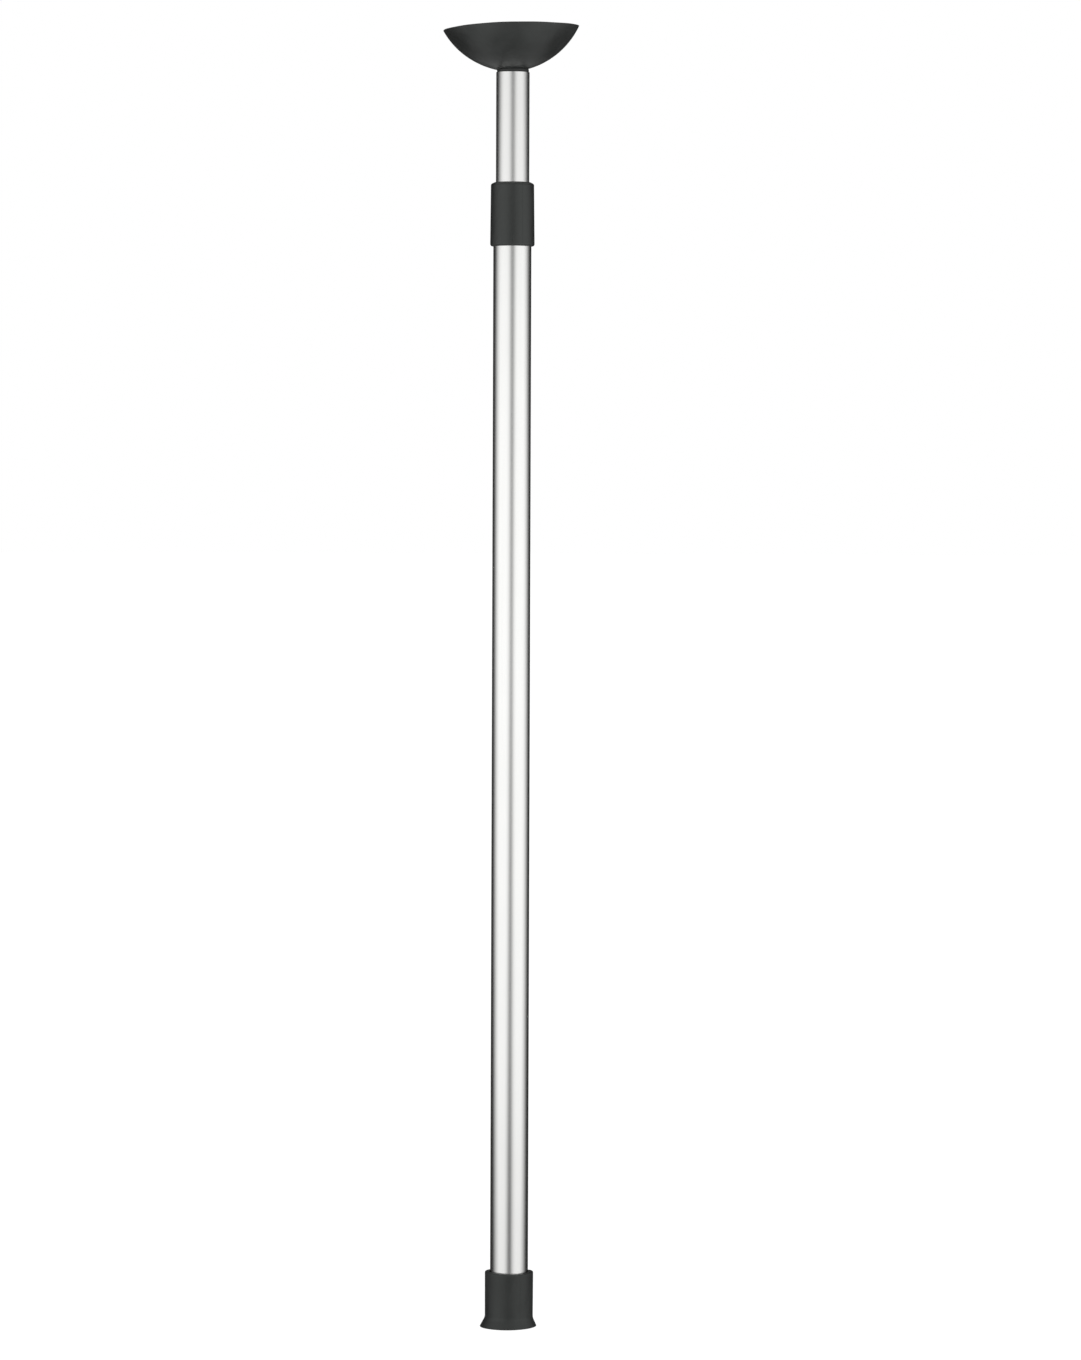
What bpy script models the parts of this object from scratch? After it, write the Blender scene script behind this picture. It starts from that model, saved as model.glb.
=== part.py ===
"""Telescoping cargo bar: two aluminium tubes, a swivelling rubber cup, a rubber foot and a twist-to-tighten jack.

The bar stands on its foot. The origin is the centre of the foot's underside and +Z runs up the bar.
Lengths are in metres. Run it with: blender --background --python part.py
"""

import math

import bmesh
import bpy
from mathutils import Matrix, Vector

# --- Driving dimensions ---------------------------------------------------------------------------------------

OUTER_R = 0.0160            # outer tube, outside radius (32 mm tube)
INNER_R = 0.0140            # inner tube, outside radius (28 mm tube)
TUBE_WALL = 0.0012
OUTER_BORE_R = OUTER_R - TUBE_WALL
INNER_BORE_R = INNER_R - TUBE_WALL

OUTER_BOTTOM = 0.0099       # lower end of the outer tube, inside the foot
OUTER_TOP = 0.9572          # mouth of the outer tube, inside the collar
INNER_BOTTOM = 0.1600       # lower end of the inner tube as stored
INNER_TOP = 1.0568
INNER_LENGTH = INNER_TOP - INNER_BOTTOM

COLLAR_BOTTOM = 0.9110
COLLAR_TOP = 0.9647
COLLAR_BOTTOM_R = 0.0187
COLLAR_TOP_R = 0.0182

FOOT_HEIGHT = 0.0473
FOOT_R = 0.0203
FOOT_LIP_R = 0.0237
FOOT_FLARE_HEIGHT = 0.0100
FOOT_FLOOR = 0.0060         # rubber under the tube

PIVOT_Z = INNER_TOP - 0.0023   # centre of the swivel's spheres, just inside the inner tube's end
RIM_HEIGHT = 0.0396            # cup rim above the pivot
RIM_R = 0.05725
PAD_REST_TILT = math.radians(-2.15)   # the cup is stored leaning a little to the left

JACK_PITCH = 0.004
JACK_TRAVEL = 0.024

PRESS_GAP = 0.00015         # between coaxial pieces that are pressed together
GAP = 0.0003                # between pieces that rest on each other

TUBE_SEGMENTS = 40
CUP_SEGMENTS = 56
SMALL_SEGMENTS = 24
MERGE = 1e-6


# --- Materials ------------------------------------------------------------------------------------------------

def material(name, colour, roughness, metallic=0.0):
    made = bpy.data.materials.new(name)
    made.use_nodes = True
    shader = made.node_tree.nodes["Principled BSDF"]
    shader.inputs["Base Color"].default_value = (*colour, 1.0)
    shader.inputs["Roughness"].default_value = roughness
    shader.inputs["Metallic"].default_value = metallic
    made.diffuse_color = (*colour, 1.0)
    return made


def make_materials():
    return {
        "aluminium": material("satin_aluminium", (0.78, 0.79, 0.79), 0.30, 1.0),
        "rubber": material("black_rubber", (0.045, 0.049, 0.047), 0.62),
        "nylon": material("natural_nylon", (0.72, 0.70, 0.63), 0.45),
        "black_nylon": material("black_nylon", (0.030, 0.032, 0.031), 0.45),
        "steel": material("zinc_plated_steel", (0.62, 0.63, 0.64), 0.32, 1.0),
        "zinc": material("cast_zinc", (0.50, 0.51, 0.53), 0.48, 1.0),
    }


# --- Shape helpers --------------------------------------------------------------------------------------------

def arc(centre, radius, start, end, count):
    """(r, z) points on a circle in the profile plane, angles in degrees from +r towards +z, ends included."""
    angles = [math.radians(start + (end - start) * i / (count - 1)) for i in range(count)]
    return [(centre[0] + radius * math.cos(a), centre[1] + radius * math.sin(a)) for a in angles]


def sphere_arc(radius, r_start, r_end, count):
    """(r, z) points on a sphere about the profile's origin, above it, from one radius to another."""
    start = math.degrees(math.acos(r_start / radius))
    end = math.degrees(math.acos(r_end / radius))
    return arc((0.0, 0.0), radius, start, end, count)


def finish(name, bm, look, body):
    """Turns a bmesh into a named object under its body's empty, shaded smooth between sharp edges."""
    bmesh.ops.recalc_face_normals(bm, faces=bm.faces)
    mesh = bpy.data.meshes.new(name)
    bm.to_mesh(mesh)
    bm.free()
    mesh.materials.append(look)
    mesh.shade_smooth()
    mesh.set_sharp_from_angle(angle=math.radians(30))
    made = bpy.data.objects.new(name, mesh)
    bpy.context.scene.collection.objects.link(made)
    made.parent = body
    return made


def turned(name, profile, look, body, segments=TUBE_SEGMENTS):
    """A solid of revolution about Z. The (r, z) outline is closed, across the axis where it starts and ends on it."""
    bm = bmesh.new()
    verts = [bm.verts.new((r, 0.0, z)) for r, z in profile]
    edges = [bm.edges.new(pair) for pair in zip(verts, verts[1:])]
    if profile[0][0] > 0.0:
        edges.append(bm.edges.new((verts[-1], verts[0])))
    bmesh.ops.spin(
        bm,
        geom=verts + edges,
        cent=(0.0, 0.0, 0.0),
        axis=(0.0, 0.0, 1.0),
        angle=2 * math.pi,
        steps=segments,
        use_merge=True,
    )
    bmesh.ops.remove_doubles(bm, verts=bm.verts, dist=MERGE)
    return finish(name, bm, look, body)


def lofted(name, rings, look, body):
    """A ring-shaped solid: each ring is joined to the next, and the last to the first."""
    bm = bmesh.new()
    rows = [[bm.verts.new(point) for point in ring] for ring in rings]
    for low, high in zip(rows, rows[1:] + rows[:1]):
        for i in range(len(low)):
            j = (i + 1) % len(low)
            bm.faces.new((low[i], low[j], high[j], high[i]))
    return finish(name, bm, look, body)


def hexagon_prism(bm, flats, low, high):
    """Adds an upright six-sided prism with this distance across its flats and a corner on +X."""
    corner_r = flats / 2 / math.cos(math.pi / 6)
    place = Matrix.Translation((0.0, 0.0, (low + high) / 2)) @ Matrix.Rotation(math.pi / 6, 4, "Z")
    bmesh.ops.create_cone(
        bm, cap_ends=True, segments=6, radius1=corner_r, radius2=corner_r, depth=high - low, matrix=place
    )


def radial_pin(bm, radius, inner, outer, z, turn, segments=12):
    """Adds a round pin that runs outwards from the axis."""
    place = (
        Matrix.Rotation(turn, 4, "Z")
        @ Matrix.Translation(((inner + outer) / 2, 0.0, z))
        @ Matrix.Rotation(math.pi / 2, 4, "Y")
    )
    bmesh.ops.create_cone(
        bm, cap_ends=True, segments=segments, radius1=radius, radius2=radius, depth=outer - inner, matrix=place
    )


def box(bm, size, centre, turn=0.0):
    place = Matrix.Rotation(turn, 4, "Z") @ Matrix.Translation(centre) @ Matrix.Diagonal((*size, 1.0))
    bmesh.ops.create_cube(bm, size=1.0, matrix=place)


def cut(target, shape, body):
    """Cuts a hidden tool, drawn by shape(bm), out of target."""
    bm = bmesh.new()
    shape(bm)
    bmesh.ops.recalc_face_normals(bm, faces=bm.faces)
    mesh = bpy.data.meshes.new(target.name + "_tool")
    bm.to_mesh(mesh)
    bm.free()
    tool = bpy.data.objects.new(target.name + "_tool", mesh)
    bpy.context.scene.collection.objects.link(tool)
    tool.parent = body
    tool.hide_render = True
    tool.display_type = "WIRE"
    modifier = target.modifiers.new("cut", "BOOLEAN")
    modifier.operation = "DIFFERENCE"
    modifier.object = tool


def washer(name, hole_r, outer_r, low, high, look, body):
    bevel = min(0.0003, (high - low) / 4)
    profile = [
        (hole_r, low),
        (outer_r - bevel, low),
        (outer_r, low + bevel),
        (outer_r, high - bevel),
        (outer_r - bevel, high),
        (hole_r, high),
    ]
    return turned(name, profile, look, body, SMALL_SEGMENTS)


def hex_nut(name, flats, hole_r, low, high, look, body):
    """A plain hexagon nut: a six-sided ring with a round hole."""
    hexagon = hexagon_ring(flats, SMALL_SEGMENTS)
    circle = [(hole_r * c, hole_r * s) for c, s in unit_circle(SMALL_SEGMENTS)]
    rings = [place_ring(ring, z) for ring, z in ((hexagon, low), (hexagon, high), (circle, high), (circle, low))]
    return lofted(name, rings, look, body)


def unit_circle(count):
    angles = [2 * math.pi * i / count for i in range(count)]
    return [(math.cos(a), math.sin(a)) for a in angles]


def hexagon_ring(flats, count):
    """Points round a hexagon at even angles. The count is a multiple of six, so each corner is a point."""
    points = []
    for i in range(count):
        angle = 2 * math.pi * i / count
        off_flat = angle % (math.pi / 3) - math.pi / 6
        radius = flats / 2 / math.cos(off_flat)
        points.append((radius * math.cos(angle), radius * math.sin(angle)))
    return points


def place_ring(ring, z):
    return [(x, y, z) for x, y in ring]


# --- Jack thread ----------------------------------------------------------------------------------------------

THREAD_MEAN_R = 0.0045
THREAD_DEPTH = 0.0010
THREAD_CLEARANCE = 0.00035
ROWS_PER_TURN = 6


def thread_ring(mean_r, z, fade=1.0, segments=16):
    """One level of a right-handed round thread. The fade thins the thread away where it runs out."""
    ring = []
    for c, s in unit_circle(segments):
        angle = math.atan2(s, c)
        wave = math.cos(2 * math.pi * z / JACK_PITCH - angle)
        radius = mean_r + fade * THREAD_DEPTH / 2 * wave
        ring.append((radius * c, radius * s, z))
    return ring


def thread_rows(mean_r, low, high, run_out, segments=16):
    """Rings of a thread from low to high, each end fading over run_out."""
    count = max(2, round((high - low) / JACK_PITCH * ROWS_PER_TURN))
    rows = []
    for i in range(count + 1):
        z = low + (high - low) * i / count
        fade = min(1.0, (z - low) / run_out, (high - z) / run_out) if run_out else 1.0
        rows.append(thread_ring(mean_r, z, fade, segments))
    return rows


# --- Outer tube, collar and foot ------------------------------------------------------------------------------

def make_outer(body, looks):
    roll = 0.0011           # the mouth is rolled inwards, which traps the guide liner
    mouth_r = INNER_R + 0.00025
    turned(
        "outer_tube",
        [
            (OUTER_BORE_R, OUTER_BOTTOM),
            (OUTER_R - 0.0003, OUTER_BOTTOM),
            (OUTER_R, OUTER_BOTTOM + 0.0003),
            (OUTER_R, OUTER_TOP - roll),
            (OUTER_R - roll / 3, OUTER_TOP - roll / 3),
            (OUTER_R - roll, OUTER_TOP),
            (mouth_r, OUTER_TOP),
            (mouth_r, OUTER_TOP - roll),
            (OUTER_BORE_R, OUTER_TOP - 2 * roll),
        ],
        looks["aluminium"],
        body,
    )
    liner_top = OUTER_TOP - 2 * roll - GAP
    liner_length = 0.105
    liner_r = INNER_R + PRESS_GAP
    turned(
        "guide_liner",
        [
            (liner_r, liner_top - liner_length),
            (OUTER_BORE_R - PRESS_GAP, liner_top - liner_length),
            (OUTER_BORE_R - PRESS_GAP, liner_top),
            (liner_r, liner_top),
        ],
        looks["nylon"],
        body,
    )
    ring_low = OUTER_TOP + GAP
    ring_high = COLLAR_TOP - 0.0022
    turned(
        "guide_ring",
        [
            (INNER_R + 0.0002, ring_low),
            (OUTER_R, ring_low),
            (OUTER_R, ring_high),
            (INNER_R + 0.0008, ring_high),
            (INNER_R + 0.0002, ring_high - 0.0006),
        ],
        looks["nylon"],
        body,
    )
    make_collar(body, looks, ring_high + GAP)
    make_foot(body, looks)


def make_collar(body, looks, ledge):
    """The soft sleeve over the tube's mouth. Its top slopes up to a lip on the inner tube above the guide ring."""
    shoulder_round = 0.0020
    shoulder_turn = 66.0
    lip_rise = 0.0010       # from the shoulder to the lip
    shoulder_z = COLLAR_TOP - lip_rise - shoulder_round * math.sin(math.radians(shoulder_turn))
    bottom_round = 0.0019
    sleeve_r = OUTER_R + PRESS_GAP
    lip_r = INNER_R + 0.00035
    turned(
        "collar_sleeve",
        [(sleeve_r, COLLAR_BOTTOM)]
        + arc((COLLAR_BOTTOM_R - bottom_round, COLLAR_BOTTOM + bottom_round), bottom_round, -90, 0, 5)
        + arc((COLLAR_TOP_R - shoulder_round, shoulder_z), shoulder_round, 0, shoulder_turn, 5)
        + [
            (lip_r + 0.0003, COLLAR_TOP),
            (lip_r, COLLAR_TOP - 0.0003),
            (lip_r, ledge),
            (sleeve_r, ledge),
        ],
        looks["rubber"],
        body,
    )


def tread(lands, depth):
    """The foot's underside from the axis outwards: flat lands at z = 0 with grooves of this depth between them."""
    points = [(0.0, 0.0)]
    for groove_start, groove_end in lands:
        points += [
            (groove_start, 0.0),
            (groove_start + 0.0003, depth),
            (groove_end - 0.0003, depth),
            (groove_end, 0.0),
        ]
    return points


def make_foot(body, looks):
    """A flared rubber boot over the tube's lower end, with a steel disc and an end plug inside."""
    socket_r = OUTER_R + PRESS_GAP
    top_round = 0.0015
    mouth_round = 0.0014
    lip_edge = 0.0006
    flare_r = 0.0090        # radius of the hollow curve where the straight wall turns out into the flare
    flare_turn = 24.0       # degrees that the flare leans out from upright
    curve = arc((FOOT_R + flare_r, FOOT_FLARE_HEIGHT), flare_r, 180, 180 + flare_turn, 4)
    turned(
        "foot_boot",
        tread([(0.0070, 0.0090), (0.0125, 0.0145), (0.0180, 0.0200)], 0.0012)
        + [(FOOT_LIP_R - lip_edge, 0.0), (FOOT_LIP_R, lip_edge)]
        + curve[::-1]
        + arc((FOOT_R - top_round, FOOT_HEIGHT - top_round), top_round, 0, 90, 5)
        + arc((socket_r + mouth_round, FOOT_HEIGHT - mouth_round), mouth_round, 90, 180, 4)
        + [
            (socket_r, FOOT_FLOOR),
            (0.0, FOOT_FLOOR),
        ],
        looks["rubber"],
        body,
    )
    disc_top = FOOT_FLOOR + 0.0018
    bevel = 0.0003
    turned(
        "foot_washer",
        [
            (0.0, FOOT_FLOOR + GAP),
            (OUTER_R - bevel, FOOT_FLOOR + GAP),
            (OUTER_R, FOOT_FLOOR + GAP + bevel),
            (OUTER_R, disc_top - bevel),
            (OUTER_R - bevel, disc_top),
            (0.0, disc_top),
        ],
        looks["steel"],
        body,
        SMALL_SEGMENTS,
    )
    plug_r = OUTER_BORE_R - PRESS_GAP - 0.0001
    plug_wall = 0.0016
    plug_low = disc_top + GAP
    plug_high = 0.0240
    turned(
        "tube_end_plug",
        [
            (0.0, plug_low),
            (OUTER_R, plug_low),
            (OUTER_R, OUTER_BOTTOM - GAP),
            (plug_r, OUTER_BOTTOM - GAP),
            (plug_r, plug_high - 0.0010),
            (plug_r - 0.0005, plug_high),
            (plug_r - plug_wall, plug_high),
            (plug_r - plug_wall, plug_low + 0.0024),
            (0.0, plug_low + 0.0024),
        ],
        looks["black_nylon"],
        body,
        SMALL_SEGMENTS,
    )


# --- Inner tube, with the plug that drives the jack and the plug that carries the swivel -----------------------

RIVET_Z = 0.0200            # rivets above the inner tube's lower end
RIVET_R = 0.0016
RIVET_TURNS = {"plug_rivet_left": math.pi, "plug_rivet_right": 0.0}
NUT_FLATS = 0.0160
NUT_LOW = -0.0040
NUT_HIGH = 0.0060


def rivet_holes(inner, outer):
    def shape(bm):
        for turn in RIVET_TURNS.values():
            radial_pin(bm, RIVET_R + PRESS_GAP, inner, outer, RIVET_Z, turn)
    return shape


def make_inner(body, looks):
    edge = 0.0003
    tube = turned(
        "inner_tube",
        [
            (INNER_BORE_R, 0.0),
            (INNER_R - edge, 0.0),
            (INNER_R, edge),
            (INNER_R, INNER_LENGTH - edge),
            (INNER_R - edge, INNER_LENGTH),
            (INNER_BORE_R, INNER_LENGTH),
        ],
        looks["aluminium"],
        body,
    )
    cut(tube, rivet_holes(0.010, 0.016), body)
    make_drive_plug(body, looks)
    make_neck_plug(body, looks)


def make_drive_plug(body, looks):
    """The plug in the tube's lower end. Its flange guides the tube, and its pocket turns the jack's nut."""
    barrel_r = INNER_BORE_R - GAP
    flange_r = OUTER_BORE_R - 0.00025
    bore_r = THREAD_MEAN_R + THREAD_DEPTH
    flange_low = -0.0043
    barrel_high = 0.0260
    plug = turned(
        "drive_plug",
        [
            (bore_r, flange_low),
            (flange_r, flange_low),
            (flange_r, -GAP),
            (barrel_r, -GAP),
            (barrel_r, barrel_high - 0.0010),
            (barrel_r - 0.0010, barrel_high),
            (bore_r, barrel_high),
        ],
        looks["nylon"],
        body,
        SMALL_SEGMENTS,
    )

    def pocket_and_rivet_holes(bm):
        hexagon_prism(bm, NUT_FLATS + 2 * GAP, flange_low - 0.001, NUT_HIGH + GAP)
        rivet_holes(0.0080, 0.016)(bm)

    cut(plug, pocket_and_rivet_holes, body)
    for name, turn in RIVET_TURNS.items():
        bm = bmesh.new()
        radial_pin(bm, RIVET_R, 0.0083, INNER_R - 0.0001, RIVET_Z, turn)
        finish(name, bm, looks["steel"], body)

    hexagon = hexagon_ring(NUT_FLATS, SMALL_SEGMENTS)
    bore = thread_rows(THREAD_MEAN_R + THREAD_CLEARANCE, NUT_LOW, NUT_HIGH, 0.0, SMALL_SEGMENTS)
    lofted(
        "drive_nut",
        [place_ring(hexagon, NUT_LOW), place_ring(hexagon, NUT_HIGH)] + bore[::-1],
        looks["steel"],
        body,
    )


def make_neck_plug(body, looks):
    """The plug in the tube's upper end. Its domed top is the ball that the cup tilts on."""
    pivot = PIVOT_Z - INNER_BOTTOM
    neck_r = 0.0134
    dome_r = 0.0140
    barrel_r = INNER_BORE_R - GAP
    bolt_r = 0.0033
    pocket_r = 0.0080
    neck_low = INNER_LENGTH - pivot + GAP
    profile = (
        [
            (pocket_r, -0.0300),
            (barrel_r - 0.0010, -0.0300),
            (barrel_r, -0.0290),
            (barrel_r, neck_low),
            (neck_r, neck_low),
        ]
        + sphere_arc(dome_r, neck_r, bolt_r, 8)
        + [(bolt_r, -0.0010), (pocket_r, -0.0010)]
    )
    plug = turned("neck_plug", profile, looks["black_nylon"], body, TUBE_SEGMENTS)
    plug.location.z = pivot


# --- Brake and jack screw -------------------------------------------------------------------------------------

SPIGOT_R = 0.0030


def make_brake(body, looks):
    """The cone and split bush that grip the outer tube's bore, and the screw that pushes off them.

    Heights are from the inner tube's lower end as stored.
    """
    cone_top = -0.0237
    cone_base_r = 0.0120
    cone_tip_r = 0.0085
    cone_wide_z = cone_top - 0.0030
    cone_tip_z = cone_top - 0.0180
    cone_low = cone_top - 0.0200
    turned(
        "brake_cone",
        [
            (SPIGOT_R + GAP, cone_low),
            (0.0060, cone_low),
            (0.0060, cone_tip_z),
            (cone_tip_r, cone_tip_z),
            (cone_base_r, cone_wide_z),
            (cone_base_r, cone_top),
            (SPIGOT_R + GAP, cone_top),
        ],
        looks["zinc"],
        body,
        SMALL_SEGMENTS,
    )
    make_brake_bush(body, looks, cone_tip_z, cone_wide_z, cone_tip_r, cone_base_r)
    washer("brake_washer", SPIGOT_R + GAP, 0.0135, cone_low - 0.0018, cone_low - GAP, looks["steel"], body)
    hex_nut("brake_nut", 0.0100, SPIGOT_R + GAP, cone_low - 0.0071, cone_low - 0.0021, looks["steel"], body)
    make_screw(body, looks, cone_low - 0.0085, cone_top + GAP)
    hex_nut("stop_nut", NUT_FLATS, THREAD_MEAN_R - THREAD_DEPTH / 2 + GAP, 0.0515, 0.0575, looks["steel"], body)
    make_spring(body, looks, cone_top + 0.0002, -0.0115)


def make_brake_bush(body, looks, cone_tip_z, cone_wide_z, cone_tip_r, cone_base_r):
    bush_low = cone_tip_z
    bush_high = cone_wide_z - GAP
    bush_r = OUTER_BORE_R - 0.00025
    slope = (cone_base_r - cone_tip_r) / (cone_wide_z - cone_tip_z)
    inner_low = cone_tip_r + GAP
    inner_high = inner_low + slope * (bush_high - bush_low)
    groove = 0.0006
    third = (bush_high - bush_low) / 3
    grip = []
    for i in range(3):
        z = bush_low + i * third
        grip += [(bush_r, z + groove), (bush_r, z + third - groove), (bush_r - groove, z + third)]
    bush = turned(
        "brake_bush",
        [(inner_low, bush_low), (bush_r - groove, bush_low)] + grip + [(inner_high, bush_high)],
        looks["nylon"],
        body,
        SMALL_SEGMENTS,
    )

    def slots(bm):
        """One slot right through, and five that stop short, alternately from above and below."""
        length = bush_high - bush_low
        for i in range(6):
            reach = 2 * length if i == 0 else length
            middle = (bush_low + bush_high) / 2
            if i:
                middle += length / 4 if i % 2 else -length / 4
            box(bm, (0.010, 0.0016, reach), (0.0120, 0.0, middle), math.radians(60 * i + 7.5))

    cut(bush, slots, body)


def make_screw(body, looks, low, shoulder):
    """A plain spigot below the shoulder, then a rod with the jack's round thread along the nut's travel."""
    rod_r = THREAD_MEAN_R - THREAD_DEPTH / 2
    thread_low = NUT_LOW - 0.0040
    thread_high = NUT_HIGH + JACK_TRAVEL + 0.0040
    top = 0.0600
    rows = thread_rows(THREAD_MEAN_R, thread_low, thread_high, JACK_PITCH)
    circle = unit_circle(16)

    def plain(radius, z):
        return [(radius * c, radius * s, z) for c, s in circle]

    bm = bmesh.new()
    rings = [plain(SPIGOT_R - 0.0005, low), plain(SPIGOT_R, low + 0.0005), plain(SPIGOT_R, shoulder)]
    rings += [plain(rod_r + 0.0005, shoulder), plain(rod_r + 0.0005, thread_low - 0.0020)]
    rings += rows
    rings += [plain(rod_r, thread_high + 0.0020), plain(rod_r, top - 0.0005), plain(rod_r - 0.0005, top)]
    levels = [[bm.verts.new(point) for point in ring] for ring in rings]
    for under, over in zip(levels, levels[1:]):
        for i in range(len(under)):
            j = (i + 1) % len(under)
            bm.faces.new((under[i], under[j], over[j], over[i]))
    bm.faces.new(levels[0][::-1])
    bm.faces.new(levels[-1])
    finish("tension_screw", bm, looks["steel"], body)


def make_spring(body, looks, low, high):
    """A coil round the screw, between the brake cone and the slip washer."""
    wire_r = 0.0006
    coil_r = 0.0080
    turns = 5
    per_turn = 14
    sides = 6
    start = low + wire_r
    climb = (high - wire_r - start) / turns
    bm = bmesh.new()
    rings = []
    for i in range(turns * per_turn + 1):
        angle = 2 * math.pi * i / per_turn
        out = Vector((math.cos(angle), math.sin(angle), 0.0))
        middle = out * coil_r + Vector((0.0, 0.0, start + climb * i / per_turn))
        rings.append([
            bm.verts.new(middle + out * (wire_r * c) + Vector((0.0, 0.0, wire_r * s)))
            for c, s in unit_circle(sides)
        ])
    for here, there in zip(rings, rings[1:]):
        for i in range(sides):
            j = (i + 1) % sides
            bm.faces.new((here[i], there[i], there[j], here[j]))
    bm.faces.new(rings[0])
    bm.faces.new(rings[-1][::-1])
    finish("brake_spring", bm, looks["steel"], body)


def make_slip_washer(body, looks):
    """Lies between the turning plug and the spring, which doesn't turn."""
    washer("slip_washer", THREAD_MEAN_R + 0.0011, 0.0125, -0.0112, -0.0046, looks["nylon"], body)


# --- Swivel and cup, with heights from the pivot ---------------------------------------------------------------

SEAT_INNER_R = 0.0143       # sphere that slides on the neck plug's dome
SEAT_OUTER_R = 0.0168       # sphere that slides under the dome washer
SEAT_HOLE_R = 0.0059        # lets the bolt lean
BOLT_R = 0.0030


def make_swivel(body, looks):
    """The bolt that holds the cup on the dome. It turns in the neck plug."""
    hole_r = BOLT_R + GAP
    washer_r = 0.0092
    under_r = SEAT_OUTER_R + GAP
    washer_top = 0.0190
    turned(
        "dome_washer",
        sphere_arc(under_r, hole_r, washer_r, 5)
        + [(washer_r, 0.0157), (0.0065, washer_top), (hole_r, washer_top)],
        looks["steel"],
        body,
        SMALL_SEGMENTS,
    )
    lock_low = washer_top + 0.0002
    lock_high = lock_low + 0.0012
    lock = washer("spring_washer", hole_r, 0.0056, lock_low, lock_high, looks["steel"], body)
    cut(lock, lambda bm: box(bm, (0.006, 0.0008, 0.004), (0.005, 0.0, lock_low), math.radians(20)), body)

    head_low = lock_high + 0.0002
    head_high = head_low + 0.0033
    shank_low = -0.0110
    bolt = turned(
        "swivel_bolt",
        [
            (0.0, shank_low),
            (BOLT_R - 0.0004, shank_low),
            (BOLT_R, shank_low + 0.0004),
            (BOLT_R, head_low),
            (0.0055, head_low),
            (0.0055, head_low + 0.0012),
            (0.0047, head_high - 0.0008),
            (0.0034, head_high),
            (0.0, head_high),
        ],
        looks["steel"],
        body,
        SMALL_SEGMENTS,
    )
    cut(bolt, lambda bm: hexagon_prism(bm, 0.0040, head_high - 0.0020, head_high + 0.001), body)
    washer("bolt_washer", hole_r, 0.0062, -0.0029, -0.0013, looks["steel"], body)
    hex_nut("lock_nut", 0.0100, hole_r, -0.0088, -0.0031, looks["steel"], body)


def make_pad(body, looks):
    """The rubber cup, moulded round a nylon seat."""
    seat_low = 0.0079
    seat_skirt_r = 0.0175
    flange_r = 0.0260
    flange_low = 0.0140
    flange_high = 0.0170
    well_r = 0.0123
    inner_low_r = math.sqrt(SEAT_INNER_R**2 - seat_low**2)
    turned(
        "pad_seat",
        sphere_arc(SEAT_INNER_R, SEAT_HOLE_R, inner_low_r, 5)
        + [
            (seat_skirt_r, seat_low),
            (seat_skirt_r, flange_low),
            (flange_r, flange_low),
            (flange_r, flange_high),
            (well_r, flange_high),
        ]
        + sphere_arc(SEAT_OUTER_R, well_r, SEAT_HOLE_R, 5),
        looks["nylon"],
        body,
        32,
    )

    # Outside: an arc whose centre lies a little past the axis, so the bowl is slightly pointed.
    bowl_r = 0.0674
    bowl_rise = 0.0306
    bowl_centre = (RIM_R - math.sqrt(bowl_r**2 - bowl_rise**2), RIM_HEIGHT + bowl_rise)
    base_r = 0.0140
    edge = 0.0004
    rim_angle = math.degrees(math.asin((RIM_HEIGHT - edge - bowl_centre[1]) / bowl_r))
    base_angle = -90 + math.degrees(math.asin((base_r - bowl_centre[0]) / bowl_r))
    bowl = arc(bowl_centre, bowl_r, rim_angle, base_angle, 12)
    base_z = bowl[-1][1]

    # Underneath: a round hole that clears the dome, then the pocket round the seat.
    relief_r = 0.0146
    relief_high = seat_low - GAP
    relief = sphere_arc(relief_r, math.sqrt(relief_r**2 - base_z**2), math.sqrt(relief_r**2 - relief_high**2), 3)

    # Inside: a dished face that runs out to a flat lip.
    lip_inner_r = 0.0548
    well_mouth_r = 0.0132
    dish_depth = 0.0208
    dish_r = (lip_inner_r**2 + dish_depth**2) / (2 * dish_depth)
    dish_centre = (0.0, RIM_HEIGHT - dish_depth + dish_r)
    dish_start = -90 + math.degrees(math.asin(well_mouth_r / dish_r))
    dish_end = -90 + math.degrees(math.asin(lip_inner_r / dish_r))
    turned(
        "pad_cup",
        bowl
        + relief
        + [
            (seat_skirt_r + GAP, relief_high),
            (seat_skirt_r + GAP, flange_low - GAP),
            (flange_r + GAP, flange_low - GAP),
            (flange_r + GAP, flange_high + GAP),
            (well_mouth_r, flange_high + GAP),
        ]
        + arc(dish_centre, dish_r, dish_start, dish_end, 8)
        + [(bowl[0][0] - edge, RIM_HEIGHT)],
        looks["rubber"],
        body,
        CUP_SEGMENTS,
    )


# --- Assembly -------------------------------------------------------------------------------------------------

def body_empty(name, z, tilt=0.0):
    empty = bpy.data.objects.new(name, None)
    bpy.context.scene.collection.objects.link(empty)
    empty.location.z = z
    empty.rotation_euler.y = tilt
    return empty


def main():
    for old in list(bpy.data.objects):
        bpy.data.objects.remove(old)
    looks = make_materials()
    make_outer(body_empty("outer_body", 0.0), looks)
    make_brake(body_empty("brake_body", INNER_BOTTOM), looks)
    make_slip_washer(body_empty("slip_body", INNER_BOTTOM), looks)
    make_inner(body_empty("inner_body", INNER_BOTTOM), looks)
    make_swivel(body_empty("swivel_body", PIVOT_Z), looks)
    make_pad(body_empty("pad_body", PIVOT_Z, PAD_REST_TILT), looks)


main()
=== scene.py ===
"""What the telescoping cargo bar looks like.

Smooth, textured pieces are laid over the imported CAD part, and a studio of soft light stands round them.
Lengths are in metres. The origin is the centre of the foot's underside and +Z runs up the bar.
"""

import math

import bmesh
import bpy
from mathutils import Matrix, Vector


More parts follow.
